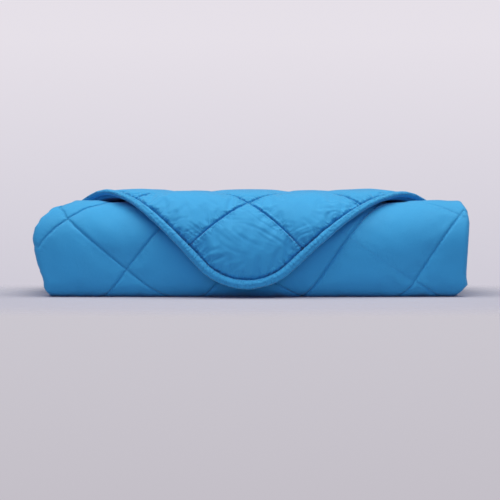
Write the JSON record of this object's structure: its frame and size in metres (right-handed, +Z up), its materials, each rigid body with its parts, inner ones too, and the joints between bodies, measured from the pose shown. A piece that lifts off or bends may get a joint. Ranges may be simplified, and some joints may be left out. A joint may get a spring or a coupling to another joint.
{
  "type": "rolled weighted blanket",
  "caption": "Quilted weighted blanket, sides folded in and rolled flat, with its last rounded corner laid over the top and front as a flap with a round bound edge.",
  "frame": {"origin": "middle of the whole shape's box, at the surface it rests on", "axes": "+X along the roll, -Y towards the side where the flap hangs, +Z up"},
  "size_m": [0.59, 0.228, 0.1498],
  "materials": {
    "quilt_cloth": "smooth brushed microfibre, matt with a soft sheen",
    "binding_cloth": "smooth microfibre, matt with a soft sheen"
  },
  "bodies": {
    "root": {"quilt": "quilt_cloth", "edge_binding": "binding_cloth"}
  },
  "joints": []
}
